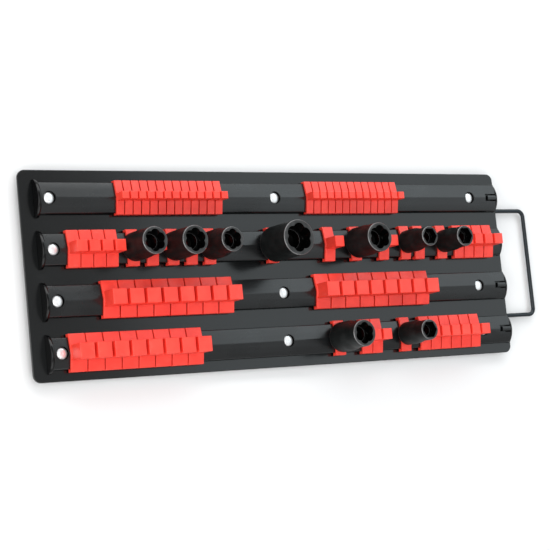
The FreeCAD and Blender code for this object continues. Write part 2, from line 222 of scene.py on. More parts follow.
def rounded_rectangle(inset, height):
    """Points round the plate's outline, drawn in by inset."""
    radius = plate_corner - inset
    points = []
    for quarter, (sx, sy) in enumerate(((1, 1), (-1, 1), (-1, -1), (1, -1))):
        x_centre = sx * (plate_length / 2 - plate_corner)
        y_centre = sy * (plate_width / 2 - plate_corner)
        for step in range(13):
            angle = math.radians(90 * quarter + 7.5 * step)
            points.append((MM * (x_centre + radius * math.cos(angle)),
                           MM * (y_centre + radius * math.sin(angle)), MM * height))
    return points


edge_turns = [math.radians(angle) for angle in (0, 22.5, 45, 67.5, 90)]
plate_rings = [rounded_rectangle(broken_edge * (1 - math.sin(a)),
                                 foot_height + broken_edge * (1 - math.cos(a))) for a in edge_turns]
plate_rings += [rounded_rectangle(broken_edge * (1 - math.cos(a)),
                                  deck - broken_edge * (1 - math.sin(a))) for a in edge_turns]
CHARCOAL = (0.0016, 0.0020, 0.0022, 1), (0.0040, 0.0048, 0.0052, 1)
charcoal_coat = powder_coat("charcoal_powder_coat", *CHARCOAL)
plate_mesh = ringed_mesh("sheet_plate", plate_rings)
smooth_mesh(plate_mesh)
plate = new_piece("sheet_plate", plate_mesh, charcoal_coat)
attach(plate, "root")
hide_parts("base_plate")


# ---- Rubber feet ----
# Five moulded rubber buttons bonded under the plate, four near its corners and
# one in the middle, each with a softened rim and a shallow moulding dimple.

def turned_mesh(name, profile, steps=48):
    """Revolve an outline of (radius, height) from axis to axis about the vertical."""
    rings = []
    for radius, height in profile:
        radius = max(radius, 0.02)
        rings.append([(MM * radius * math.cos(2 * math.pi * i / steps),
                       MM * radius * math.sin(2 * math.pi * i / steps), MM * height)
                      for i in range(steps)])
    return ringed_mesh(name, rings)


def start_tree(name, **inputs):
    """A node tree with named inputs, and the node that hands them on."""
    tree = bpy.data.node_groups.new(name, "GeometryNodeTree")
    for label, kind in inputs.items():
        tree.interface.new_socket(label.replace("_", " "), in_out="INPUT",
                                  socket_type="NodeSocket" + kind)
    tree.interface.new_socket("Finish", in_out="INPUT", socket_type="NodeSocketMaterial")
    tree.interface.new_socket("Result", in_out="OUTPUT", socket_type="NodeSocketGeometry")
    return tree, tree.nodes.new("NodeGroupInput")


def end_tree(tree, given, made):
    """Turn what a node made into real faces, in the given finish, and hand it out."""
    real = tree.nodes.new("GeometryNodeRealizeInstances")
    dress = tree.nodes.new("GeometryNodeSetMaterial")
    result = tree.nodes.new("NodeGroupOutput")
    tree.links.new(made.outputs[0], real.inputs[0])
    tree.links.new(real.outputs[0], dress.inputs["Geometry"])
    tree.links.new(given.outputs["Finish"], dress.inputs["Material"])
    tree.links.new(dress.outputs[0], result.inputs[0])
    return tree


def copies_tree(name):
    """Node tree that sets a copy of one piece, turned by chance, on each given point."""
    tree, given = start_tree(name, Places="Geometry", Piece="Object", Turn="Float")
    single = tree.nodes.new("GeometryNodeObjectInfo")
    single.inputs["As Instance"].default_value = True
    angle = tree.nodes.new("FunctionNodeRandomValue")
    angle.data_type = "FLOAT"
    angle.inputs["Seed"].default_value = 7
    spin = tree.nodes.new("ShaderNodeCombineXYZ")
    points = tree.nodes.new("GeometryNodeMeshToPoints")
    stamp = tree.nodes.new("GeometryNodeInstanceOnPoints")
    join = tree.links.new
    join(given.outputs["Piece"], single.inputs["Object"])
    join(given.outputs["Places"], points.inputs["Mesh"])
    join(points.outputs[0], stamp.inputs["Points"])
    join(single.outputs["Geometry"], stamp.inputs["Instance"])
    join(given.outputs["Turn"], angle.inputs[3])  # the largest turn, as a number
    join(angle.outputs[1], spin.inputs["Z"])
    join(spin.outputs[0], stamp.inputs["Rotation"])
    return end_tree(tree, given, stamp)


def made_by_tree(name, start_mesh, tree, values):
    """Run a node tree on a mesh and keep what comes out as a plain mesh."""
    holder = bpy.data.objects.new(name + "_start", start_mesh)
    bpy.context.scene.collection.objects.link(holder)
    step = holder.modifiers.new("make", "NODES")
    step.node_group = tree
    for item in tree.interface.items_tree:
        if item.in_out == "INPUT" and item.name in values:
            step[item.identifier] = values[item.name]
    ready = holder.evaluated_get(bpy.context.evaluated_depsgraph_get())
    mesh = bpy.data.meshes.new_from_object(ready)
    mesh.name = name
    holder.modifiers.remove(step)
    bpy.data.objects.remove(holder)
    return mesh


copy_on_each_point = copies_tree("copy_on_each_point")


def set_out(name, single_mesh, places, material, turn=0.0):
    """One mesh of a single piece repeated at places in millimetres."""
    points = bpy.data.meshes.new(name + "_places")
    points.from_pydata([tuple(MM * part for part in place) for place in places], [], [])
    single = bpy.data.objects.new(name + "_single", single_mesh)
    bpy.context.scene.collection.objects.link(single)
    mesh = made_by_tree(name, points, copy_on_each_point,
                        {"Piece": single, "Turn": turn, "Finish": material})
    bpy.data.objects.remove(single)
    return mesh


def rubber():
    """Matt rubber: fine moulded tooth, dust in the low spots."""
    material, shader, place = start_finish("foot_rubber")
    tooth = place.noise(0.5, 3.0, 0.6)
    dust = place.noise(5.0, 3.0).between(0.45, 0.75)
    set_finish(shader, Base_Color=dust.blend((0.018, 0.018, 0.018, 1), (0.040, 0.039, 0.037, 1)),
               Roughness=0.72 + dust * 0.14, Specular_IOR_Level=0.35,
               Normal=bumped(tooth, 0.4, 0.06))
    return material


foot_radius, foot_inset = 7.5, 13.0
foot_outline = [(0, 0.9), (2.0, 0.9), (2.5, 0.6), (2.9, 0.1), (3.2, 0), (foot_radius - 0.9, 0),
                (foot_radius - 0.45, 0.14), (foot_radius - 0.14, 0.45), (foot_radius, 0.9),
                (foot_radius, foot_height - 0.35), (foot_radius - 0.1, foot_height),
                (0, foot_height)]
foot_places = [(0, 0, 0)]
foot_places += [(sx * (plate_length / 2 - foot_inset), sy * (plate_width / 2 - foot_inset), 0)
                for sx in (-1, 1) for sy in (-1, 1)]
foot_rubber = rubber()
feet_mesh = set_out("feet", turned_mesh("foot", foot_outline), foot_places, foot_rubber)
smooth_mesh(feet_mesh)
feet = new_piece("feet", feet_mesh, foot_rubber)
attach(feet, "root")
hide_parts("rubber_feet")


# ---- Rails ----
# Four hollow mouldings in black plastic with a low pitched roof.  Their edges
# overhang the plate so that the clips can hook on; holes in the roof let the
# rivets in to a boss, and a slot at the right end takes the end cap's tongue.

def moulded_black(name, dark, light, gloss, shine):
    """Black plastic: fine tool texture, lengthways flow lines, handling shine.

    gloss is the roughness of the bare skin and shine the strength of its reflections.
    """
    material, shader, place = start_finish(name)
    flow = place.node("ShaderNodeMapping", {}, {"Vector": place, "Scale": (0.03, 1.0, 1.0)})
    lines = flow.noise(1.4, 3.0, 0.6)
    grain = place.noise(0.45, 2.0, 0.6)
    rubbed = place.noise(38.0, 2.0).between(0.42, 0.66)
    tone = (lines * 0.6 + grain * 0.4).between(0.32, 0.70)
    set_finish(shader, Base_Color=tone.blend(dark, light),
               Roughness=gloss - rubbed * 0.06 + grain * 0.06, Specular_IOR_Level=shine,
               Normal=bumped(grain * 0.6 + lines * 0.4, 0.20, 0.025))
    return material


rail_left, rail_right = -226.4, 237.6
rail_width, rail_ridge, rail_edge = 25.0, 7.4, 4.6
rail_web, rail_wall, rail_floor, rail_edge_depth = 19.0, 1.7, 1.5, 1.6
row_y = (60.7, 19.7, -21.3, -62.3)
rivet_x = (rail_left + 8.5, -7.5, rail_right - 31.0)
roof_fall = (rail_ridge - rail_edge) / (rail_width / 2)


def roof(distance, above=0.0):
    """Height of a rail's roof above the plate, at a distance from its ridge."""
    return rail_ridge - roof_fall * distance + above


def softened(outline, radius, steps=3):
    """Round each corner of a closed outline of (y, z) points."""
    result = []
    count = len(outline)
    for i, corner in enumerate(outline):
        here = Vector(corner)
        back = Vector(outline[i - 1]) - here
        ahead = Vector(outline[(i + 1) % count]) - here
        reach = min(radius, back.length * 0.45, ahead.length * 0.45)
        start = here + back.normalized() * reach
        end = here + ahead.normalized() * reach
        for step in range(steps + 1):
            t = step / steps
            result.append(tuple(start * (1 - t) ** 2 + here * 2 * t * (1 - t) + end * t ** 2))
    return result


def prism(bm, outline, x_start, length, y_centre, base=deck):
    """Closed bar along X of one outline of (y, z) points."""
    ends = [[bm.verts.new((MM * x, MM * (y_centre + y), MM * (base + z))) for y, z in outline]
            for x in (x_start, x_start + length)]
    faces = []
    for i in range(len(outline)):
        k = (i + 1) % len(outline)
        faces.append(bm.faces.new((ends[0][i], ends[0][k], ends[1][k], ends[1][i])))
    faces.append(bm.faces.new(list(reversed(ends[0]))))
    faces.append(bm.faces.new(ends[1]))
    bmesh.ops.recalc_face_normals(bm, faces=faces)
    return faces


def both_sides(half_outline):
    """Whole outline from the half that runs from the ridge down the +Y side."""
    other = [(-y, z) for y, z in reversed(half_outline) if y > 1e-6]
    return list(half_outline) + other


def bmesh_to_mesh(bm, name):
    mesh = bpy.data.meshes.new(name)
    bm.to_mesh(mesh)
    bm.free()
    return mesh


def cut_away(name, body_mesh, tool_mesh, operation="DIFFERENCE"):
    """Boolean of two closed meshes, as a plain mesh."""
    body = bpy.data.objects.new(name + "_body", body_mesh)
    tool = bpy.data.objects.new(name + "_tool", tool_mesh)
    for thing in (body, tool):
        bpy.context.scene.collection.objects.link(thing)
    step = body.modifiers.new("cut", "BOOLEAN")
    step.operation = operation
    step.solver = "EXACT"
    step.use_self = True
    step.object = tool
    ready = body.evaluated_get(bpy.context.evaluated_depsgraph_get())
    mesh = bpy.data.meshes.new_from_object(ready)
    mesh.name = name
    for thing in (body, tool):
        bpy.data.objects.remove(thing)
    return mesh


def upright_drum(bm, x, y, radius, low, high):
    """Closed round bar along Z, heights above the plate."""
    made = bmesh.ops.create_cone(bm, cap_ends=True, segments=64, radius1=MM * radius,
                                 radius2=MM * radius, depth=MM * (high - low))
    bmesh.ops.translate(bm, verts=made["verts"],
                        vec=(MM * x, MM * y, MM * (deck + (low + high) / 2)))


def block(bm, x_low, x_high, y_low, y_high, z_low, z_high):
    """Closed box between two corners, heights above the plate."""
    made = bmesh.ops.create_cube(bm, size=1.0)
    bmesh.ops.scale(bm, verts=made["verts"], vec=(MM * (x_high - x_low), MM * (y_high - y_low),
                                                  MM * (z_high - z_low)))
    bmesh.ops.translate(bm, verts=made["verts"],
                        vec=(MM * (x_low + x_high) / 2, MM * (y_low + y_high) / 2,
                             MM * (deck + (z_low + z_high) / 2)))
    return made["verts"]


half_rail, half_web = rail_width / 2, rail_web / 2
edge_underside = rail_edge - rail_edge_depth
rail_outline = softened(both_sides([
    (0, rail_ridge), (half_rail - 0.5, roof(half_rail - 0.5)), (half_rail, rail_edge - 0.5),
    (half_rail, edge_underside), (half_web, edge_underside), (half_web, 0)]), 0.3)
hollow_outline = both_sides([
    (0, roof(0, -rail_wall)), (half_web - rail_wall, roof(half_web - rail_wall, -rail_wall)),
    (half_web - rail_wall, rail_floor)])
window_length, window_width = 12.5, 6.8
boss_radius, boss_height, access_radius = 6.2, 3.4, 5.35
rail_black = moulded_black("rail_black_plastic", (0.0026, 0.0031, 0.0034, 1),
                           (0.0058, 0.0066, 0.0072, 1), gloss=0.26, shine=0.54)
for number, y in enumerate(row_y, start=1):
    bm = bmesh.new()
    prism(bm, rail_outline, rail_left, rail_right - rail_left, y)
    solid = bmesh_to_mesh(bm, "rail_solid")
    bm = bmesh.new()
    prism(bm, hollow_outline, rail_left - 1, rail_right - rail_left + 2, y)
    solid = cut_away("rail_shell", solid, bmesh_to_mesh(bm, "rail_hollow"))
    bm = bmesh.new()
    for x in rivet_x:
        upright_drum(bm, x, y, boss_radius, 0.6, boss_height)
    solid = cut_away("rail_bossed", solid, bmesh_to_mesh(bm, "rail_bosses"), "UNION")
    bm = bmesh.new()
    for x in rivet_x:
        upright_drum(bm, x, y, access_radius, boss_height - 0.02, rail_ridge + 2)
    block(bm, rail_right - window_length, rail_right + 1,
          y - window_width / 2, y + window_width / 2, rail_floor + 2.0, rail_ridge + 2)
    rail_mesh = cut_away("rail_%d_shell" % number, solid, bmesh_to_mesh(bm, "rail_openings"))
    smooth_mesh(rail_mesh, 24.0)
    rail_piece = new_piece("rail_%d_moulding" % number, rail_mesh, rail_black)
    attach(rail_piece, "root")
    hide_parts("rail_%d" % number)


# ---- Rivets ----
# Twelve bright aluminium blind rivets, three to a rail, pulled through the
# rail's bosses and the plate.  Each head is a low dome with the dimple where
# the mandrel broke off, and each tail is flared under the plate.

def bright_aluminium():
    """Rolled bright metal with faint turning rings and handling haze."""
    material, shader, place = start_finish("bright_aluminium")
    haze = place.noise(1.1, 3.0, 0.6)
    pits = place.noise(0.35, 2.0, 0.5)
    colour = haze.between(0.35, 0.7).blend((0.90, 0.91, 0.92, 1), (0.97, 0.972, 0.975, 1))
    set_finish(shader, Base_Color=colour, Metallic=0.85, Roughness=0.34 + haze * 0.14,
               Normal=bumped(pits, 0.15, 0.02))
    return material


head_z = deck + boss_height
head_radius, shank_radius, dome_height = 4.8, 2.4, 1.25
rivet_outline = [(0, foot_height - 1.0), (1.1, foot_height - 1.0), (1.5, foot_height - 1.45),
                 (3.2, foot_height - 1.5), (3.5, foot_height - 1.3), (3.3, foot_height - 0.8),
                 (shank_radius, foot_height), (shank_radius, head_z), (4.5, head_z),
                 (4.72, head_z + 0.1), (head_radius, head_z + 0.3), (head_radius, head_z + 0.62)]
for degrees in (6, 14, 24, 34, 44, 54, 64, 72):
    a = math.radians(degrees)
    rivet_outline.append((head_radius * math.cos(a), head_z + 0.72 + dome_height * math.sin(a)))
rivet_outline += [(0.9, head_z + 1.95), (0.7, head_z + 1.9), (0.4, head_z + 1.86),
                  (0, head_z + 1.85)]
aluminium = bright_aluminium()
rivet_mesh = set_out("rivets", turned_mesh("rivet", rivet_outline, 40),
                     [(x, y, 0) for y in row_y for x in rivet_x], aluminium, turn=6.28)
smooth_mesh(rivet_mesh, 50.0)
rivets = new_piece("rivets", rivet_mesh, aluminium)
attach(rivets, "root")
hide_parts("rail_rivets")


# ---- End caps ----
# A moulded cap closes each end of each rail: an arched flange, a plug pressed
# into the hollow, and two blocks under the rail's edges that stop the clips'
# hooks.  The right-hand caps add a snap tongue that stands in the rail's slot.

def rounded_box_edges(bm, faces, radius, segments=2):
    """Round every edge of some faces that is sharper than 30 degrees."""
    edges = {edge for face in faces for edge in face.edges
             if edge.is_manifold and edge.calc_face_angle(0.0) > math.radians(30)}
    bmesh.ops.bevel(bm, geom=list(edges), offset=MM * radius, segments=segments, profile=0.5,
                    affect="EDGES", clamp_overlap=True)


def arch_outline(half, rise):
    """Flange seen along the rail: flat foot, short sides and one arc over the top."""
    side, crown = 2.0, rail_ridge + rise
    height = crown - side
    radius = (half ** 2 + height ** 2) / (2 * height)
    sweep = math.asin(half / radius)
    centre = crown - radius
    arc = [(radius * math.sin(a), centre + radius * math.cos(a))
           for a in [sweep * (1 - step / 14) for step in range(29)]]
    return [(half, 0)] + arc + [(-half, 0)]


cap_room = 0.12
bite = 0.2  # how far plug, blocks and tongue reach into the flange
left_flange, right_flange = 2.8, 1.4
tongue_half = 2.1


def cap_plug(bm, x_start, length, y):
    """Plug that fills the hollow of the rail with a little room to spare."""
    half = half_web - rail_wall - cap_room
    top = -rail_wall - cap_room
    outline = both_sides([(0, roof(0, top)), (half, roof(half, top)),
                          (half, rail_floor + cap_room)])
    prism(bm, outline, x_start, length, y)


def stop_blocks(bm, x_start, length, y):
    """Blocks under the rail's edges, where the hooks of the clips meet them."""
    top = edge_underside - cap_room
    for low, high in ((-half_rail, -half_web - cap_room), (half_web + cap_room, half_rail)):
        verts = block(bm, x_start, x_start + length, y + low, y + high, 0, top)
        faces = {face for vert in verts for face in vert.link_faces}
        rounded_box_edges(bm, faces, 0.25)


def arched_flange(bm, x_start, thickness, y, overhang, rise, rounding):
    """Flange across the rail's end, standing out by overhang and rise, its rim rounded."""
    faces = prism(bm, arch_outline(half_rail + overhang, rise), x_start, thickness, y)
    rounded_box_edges(bm, faces, rounding)


# Painted shade: the left caps get a darker copy of the black plastic to stand for the shade on
# their end faces, while the right caps use the rails' lighter finish.
shaded_left_cap_black = moulded_black("cap_black_plastic", (0.0006, 0.0007, 0.0008, 1),
                          (0.0016, 0.0018, 0.0020, 1), gloss=0.18, shine=0.32)
for number, y in enumerate(row_y, start=1):
    bm = bmesh.new()
    arched_flange(bm, rail_left - left_flange, left_flange, y, overhang=3.0, rise=3.2,
                  rounding=0.55)
    cap_plug(bm, rail_left - bite, 2.1 + bite, y)
    stop_blocks(bm, rail_left - bite, 7.5 + bite, y)
    left_mesh = bmesh_to_mesh(bm, "left_cap_%d" % number)
    smooth_mesh(left_mesh)
    left_cap = new_piece("left_cap_%d" % number, left_mesh, shaded_left_cap_black)
    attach(left_cap, "root")
    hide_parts("left_end_cap_%d" % number)

    bm = bmesh.new()
    cap_plug(bm, rail_right - 14.5, 14.7, y)
    plug = bmesh_to_mesh(bm, "plug")
    bm = bmesh.new()
    block(bm, rail_right - window_length, rail_right + 1,
          y - window_width / 2, y + window_width / 2, rail_floor + 1.7, rail_ridge + 2)
    plug = cut_away("plug_slotted", plug, bmesh_to_mesh(bm, "slot"))
    bm = bmesh.new()
    bm.from_mesh(plug)
    arched_flange(bm, rail_right, right_flange, y, overhang=0.5, rise=0.3, rounding=0.45)
    stop_blocks(bm, rail_right - 9.0, 9.2, y)
    tongue = both_sides([(0, roof(0, 0.1)), (tongue_half, roof(tongue_half, 0.1)),
                         (tongue_half, roof(tongue_half, -2.1))])
    faces = prism(bm, softened(tongue, 0.25), rail_right - 9.6, 9.8, y)
    rounded_box_edges(bm, faces, 0.25)
    right_mesh = bmesh_to_mesh(bm, "right_cap_%d" % number)
    smooth_mesh(right_mesh)
    right_cap = new_piece("right_cap_%d" % number, right_mesh, rail_black)
    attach(right_cap, "root")
    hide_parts("right_end_cap_%d" % number)


# ---- Clips ----
# Moulded in red plastic: a saddle that hooks under the rail's edges and carries
# a square post for a quarter, three eighth or half inch drive.  They slide on
# the rail, some alone and some pushed together in runs.

def red_plastic():
    """Glossy red moulding: soft flow clouds, faint scuffs and a satin skin."""
    material, shader, place = start_finish("clip_red_plastic")
    cloud = place.noise(9.0, 3.0, 0.55)
    grain = place.noise(0.5, 2.0, 0.6)
    rub = (place.noise(2.4, 4.0, 0.65) * place.noise(14.0, 1.0)).between(0.34, 0.46)
    colour = cloud.between(0.3, 0.72).blend((0.83, 0.042, 0.026, 1), (0.92, 0.058, 0.036, 1))
    set_finish(shader, Base_Color=(rub * 0.20).blend(colour, (0.96, 0.15, 0.11, 1)),
               Roughness=0.27 + grain * 0.10 + rub * 0.10, Specular_IOR_Level=0.5,
               Normal=bumped(grain, 0.22, 0.03))
    return material


def run_tree(name):
    """Node tree that lays copies of its own mesh side by side along a rail."""
    tree, given = start_tree(name, One_clip="Geometry", Clips="Int", Pitch="Vector",
                             First="Vector")
    line = tree.nodes.new("GeometryNodeMeshLine")
    line.mode = "OFFSET"
    stamp = tree.nodes.new("GeometryNodeInstanceOnPoints")
    join = tree.links.new
    join(given.outputs["Clips"], line.inputs["Count"])
    join(given.outputs["Pitch"], line.inputs["Offset"])
    join(given.outputs["First"], line.inputs["Start Location"])
    join(line.outputs[0], stamp.inputs["Points"])
    join(given.outputs["One clip"], stamp.inputs["Instance"])
    return end_tree(tree, given, stamp)


clip_room, clip_roof = 0.25, 1.95
clip_eave_drop, hook_depth, hook_lip = 3.1, 1.35, 0.5
post_rim, clip_edge = 0.55, 0.3  # how far the post's top and the other edges are rounded
seam = 0.26  # drawn in at each end, so that neighbours show a line between them
clip_ridge = rail_ridge + clip_room + clip_roof
# Length along the rail, wall, side of the post, and height of the post above the ridge.
CLIP_SIZES = {
    "quarter": (7.1, 1.2, 6.2, 9.6),
    "three_eighth": (10.95, 2.25, 9.35, 14.2),
    "half": (14.65, 2.35, 12.5, 15.0),
}


def single_clip(size):
    """One clip about X = Y = 0, saddle and post in one closed skin with soft edges."""
    length, wall, post, post_height = CLIP_SIZES[size]
    inner = half_rail + clip_room
    outer = inner + wall
    hook_top = edge_underside - clip_room
    saddle = both_sides([(0, clip_ridge), (outer, clip_ridge - clip_eave_drop),
                         (outer, hook_top - hook_depth),
                         (half_web + hook_lip, hook_top), (inner, hook_top),
                         (inner, roof(inner, clip_room)), (0, roof(0, clip_room))])
    lower_half = [point for point in saddle[7:] if abs(point[0]) > 1e-6]
    bm = bmesh.new()
    prism(bm, saddle[:7] + lower_half, -length / 2 + seam, length - 2 * seam, 0)
    saddle_mesh = bmesh_to_mesh(bm, "saddle")
    bm = bmesh.new()
    block(bm, -post / 2, post / 2, -post / 2, post / 2, roof(0, clip_room + clip_roof / 2),
          clip_ridge + post_height)
    joined = cut_away("clip_" + size, saddle_mesh, bmesh_to_mesh(bm, "post"), "UNION")
    bm = bmesh.new()
    bm.from_mesh(joined)
    bmesh.ops.remove_doubles(bm, verts=bm.verts, dist=MM * 0.001)
    bmesh.ops.dissolve_limit(bm, angle_limit=math.radians(1.0), verts=bm.verts, edges=bm.edges)
    top = MM * (deck + clip_ridge + post_height)
    rim = [edge for edge in bm.edges if all(abs(vert.co.z - top) < 1e-6 for vert in edge.verts)]
    bmesh.ops.bevel(bm, geom=rim, offset=MM * post_rim, segments=3, profile=0.5,
                    affect="EDGES")
    rounded_box_edges(bm, bm.faces, clip_edge)
    bm.to_mesh(joined)
    bm.free()
    return joined


ONE_CLIP = {size: single_clip(size) for size in CLIP_SIZES}
clip_run_tree = run_tree("clips_side_by_side")
clip_red = red_plastic()
# Node, body, size, how many, and the row they are on.
CLIP_RUNS = [
    ("quarter_clips_left", "quarter_run_left", "quarter", 13, 0),
    ("quarter_clips_right", "quarter_run_right", "quarter", 13, 0),
    ("three_eighth_clips_left", "three_eighth_run_left", "three_eighth", 4, 1),
    ("clip_socket_22", "socket_run_left", "three_eighth", 1, 1),
    ("spare_clip_1", "socket_run_left", "three_eighth", 1, 1),
    ("clip_socket_23", "socket_run_left", "three_eighth", 1, 1),
    ("spare_clip_2", "socket_run_left", "three_eighth", 1, 1),
    ("clip_socket_20", "socket_run_left", "three_eighth", 1, 1),
    ("clip_socket_30", "large_socket_clip", "three_eighth", 1, 1),
    ("spare_clip_3", "free_clip_3", "three_eighth", 1, 1),
    ("clip_socket_26", "medium_socket_clip", "three_eighth", 1, 1),
    ("spare_clip_4", "free_clip_4", "three_eighth", 1, 1),
    ("clip_socket_17", "hex_socket_clip_17", "three_eighth", 1, 1),
    ("spare_clip_5", "free_clip_5", "three_eighth", 1, 1),
    ("clip_socket_18", "hex_socket_clip_18", "three_eighth", 1, 1),
    ("three_eighth_clips_right", "three_eighth_run_right", "three_eighth", 4, 1),
    ("half_clips_upper_left", "half_run_upper_left", "half", 8, 2),
    ("half_clips_upper_right", "half_run_upper_right", "half", 8, 2),
    ("half_clips_lower_left", "half_run_lower_left", "half", 8, 3),
    ("clip_socket_23_short", "lower_socket_clip_23", "three_eighth", 1, 3),
    ("spare_clip_pair", "free_clip_pair", "three_eighth", 2, 3),
    ("clip_socket_18_short", "lower_socket_clip_18", "three_eighth", 1, 3),
    ("three_eighth_clips_lower", "three_eighth_run_lower", "three_eighth", 6, 3),
]
for node, body, size, count, row in CLIP_RUNS:
    length = MM * CLIP_SIZES[size][0]
    low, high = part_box(node)
    pitch = (high.x - low.x - length) / max(1, count - 1)
    first = (low.x + length / 2, MM * row_y[row], 0.0)
    run_mesh = made_by_tree(node + "_run", ONE_CLIP[size].copy(), clip_run_tree,
                            {"Clips": count, "Pitch": (pitch, 0.0, 0.0), "First": first,
                             "Finish": clip_red})
    smooth_mesh(run_mesh, 28.0)
    run_piece = new_piece(node + "_moulding", run_mesh, clip_red)
    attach(run_piece, body)
    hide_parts(node)


# ---- Sockets ----
# Nine forged and turned sockets, phosphated black: a square drive below that
# drops over a post, and above it a recess with six winding lobes, or a hexagon,
# that bites on a worn nut.  The rims are rubbed back to bare steel.

def phosphated_steel():
    """Black phosphate over turned steel, rubbed to bare metal along the rims, with painted shade
    making the coat near black inside the recess.
    """
    material, shader, place = start_finish("black_phosphate_steel")
    bare = place.node("ShaderNodeAttribute", {"attribute_name": "rubbed"}, {}, output=2)
    turning = place.node("ShaderNodeMapping", {}, {"Vector": place, "Scale": (0.08, 0.08, 1.0)})
    rings = turning.noise(0.5, 2.0, 0.6)
    patch = place.noise(7.0, 3.0, 0.6)
    grain = place.noise(0.3, 2.0, 0.6)
    inside = place.node("ShaderNodeAttribute", {"attribute_name": "inside"}, {}, output=2)
    worn = (bare + (patch - 0.5) * 0.30).between(0.10, 0.90)
    coat = patch.between(0.3, 0.7).blend((0.0030, 0.0040, 0.0040, 1), (0.0085, 0.0100, 0.0098, 1))
    # Painted shade: where the 'inside' share is high, the coat is coloured near black, so the
    # recess reads as shadowed.
    coat_with_painted_recess_shade = inside.blend(coat, (0.0012, 0.0012, 0.0013, 1))
    metal = grain.between(0.3, 0.7).blend((0.13, 0.129, 0.130, 1), (0.23, 0.229, 0.232, 1))
    set_finish(shader, Base_Color=worn.blend(coat_with_painted_recess_shade, metal), Metallic=0.10 + worn * 0.68,
               Roughness=0.42 + grain * 0.10 - worn * 0.10 - inside * 0.22,
               Specular_IOR_Level=0.18, Normal=bumped(rings * 0.6 + grain * 0.4, 0.30, 0.04))
    return material


SOCKET_STEPS = 96
drive_half, drive_depth, through_radius, floor_depth = 4.8, 14.8, 3.0, 2.4
socket_base_z = deck + clip_ridge + 0.2


def lobed_radius(angle, mouth):
    """How far out the six lobes' wall lies; they meet in blunt cusps."""
    around = (math.degrees(angle) + 30) % 60 - 30
    centre, lobe = 0.45 * mouth, 0.36 * mouth
    turn = math.radians(around)
    reach = centre * math.cos(turn) + math.sqrt(lobe ** 2 - (centre * math.sin(turn)) ** 2)
    return min(reach, 0.81 * mouth)


def hex_radius(angle, mouth):
    """How far out a hexagon's wall lies, its corners slightly relieved."""
    around = (math.degrees(angle) + 30) % 60 - 30
    flats = 0.74 * mouth
    return min(flats / math.cos(math.radians(30 - abs(around))), flats * 1.13)


def square_radius(angle, half):
    return half / max(abs(math.cos(angle)), abs(math.sin(angle)))


def socket_skin(name, x, y, base_diameter, mouth_diameter, length, taper_start, kind):
    """Rings up the outside, over the rim, down the recess and out through the drive.

    Each ring also says how far it is rubbed bare and how far it is inside.
    """
    base, mouth = base_diameter / 2, mouth_diameter / 2
    taper_end = taper_start + (length - taper_start) * 0.45
    rings, rubbed, inner = [], [], []
    recess = lobed_radius if kind == "lobed" else hex_radius
    floor = drive_depth + floor_depth
    step = length - mouth * 0.86
    bore = mouth * 0.55

    def ring(radius_at, height, wear=0.0, inside=0.0):
        points = []
        for i in range(SOCKET_STEPS):
            angle = 2 * math.pi * i / SOCKET_STEPS
            radius = radius_at(angle)
            points.append((MM * (x + radius * math.cos(angle)), MM * (y + radius * math.sin(angle)),
                           MM * (socket_base_z + height)))
        rings.append(points)
        rubbed.append(wear)
        inner.append(inside)

    def plain(radius, height, wear=0.0, inside=0.0):
        ring(lambda angle: radius, height, wear, inside)

    def nut(height, larger=0.0, wear=0.0, inside=1.0):
        wind = math.radians(24.0) if kind == "lobed" else 0.0
        turn = wind * (height - step) / (length - step)
        ring(lambda angle: recess(angle - turn, mouth) + larger, height, wear, inside)

    plain(base - 0.95, 0.0, 0.45)
    plain(base - 0.55, 0.08, 0.6)
    plain(base - 0.2, 0.3, 0.6)
    plain(base, 0.85, 0.3)
    plain(base, 1.4)
    plain(base, taper_start - 0.8)
    for part in range(9):
        share = part / 8
        ease = share * share * (3 - 2 * share)
        plain(base + (mouth - base) * ease, taper_start + (taper_end - taper_start) * share)
    plain(mouth, taper_end + 0.8)
    plain(mouth, length - 1.6)
    plain(mouth, length - 0.9, 0.15)
    plain(mouth - 0.16, length - 0.4, 0.8)
    plain(mouth - 0.42, length - 0.1, 1.0)
    plain(mouth - 0.66, length - 0.01, 0.36)
    nut(length, 0.26, 0.30, 0.0)
    nut(length - 0.1, 0.10, 0.28, 0.3)
    nut(length - 0.35, 0.02, 0.1, 1.0)
    nut(length - 0.8, 0.0, 0.0)
    depth = length - 0.8 - step - 0.4
    for part in range(1, 8):
        nut(step + 0.4 + depth * (1 - part / 8))
    nut(step + 0.4)
    nut(step, -0.35)
    plain(bore + 0.4, step, 0.05, 1.0)
    plain(bore + 0.12, step - 0.1, 0.5, 0.7)
    plain(bore, step - 0.35, 0.1, 1.0)
    plain(bore, floor + 0.6, 0.0, 1.0)
    plain(bore - 0.5, floor, 0.15, 1.0)
    plain(through_radius + 0.3, floor, 0.15, 1.0)
    plain(through_radius, floor - 0.3, 0.0, 1.0)
    plain(through_radius, drive_depth + 0.3, 0.0, 1.0)
    plain(through_radius + 0.3, drive_depth)
    ring(lambda angle: square_radius(angle, drive_half) - 0.3, drive_depth)
    ring(lambda angle: square_radius(angle, drive_half), drive_depth - 0.3)
    ring(lambda angle: square_radius(angle, drive_half), 0.8)
    ring(lambda angle: square_radius(angle, drive_half) + 0.45, 0.25, 0.5)
    ring(lambda angle: square_radius(angle, drive_half) + 0.8, 0.0, 0.5)
    mesh = ringed_mesh(name, rings, closed_loop=True)
    for layer, amounts in (("rubbed", rubbed), ("inside", inner)):
        values = [amount for amount in amounts for i in range(SOCKET_STEPS)]
        mesh.attributes.new(layer, "FLOAT", "POINT").data.foreach_set("value", values)
    return mesh


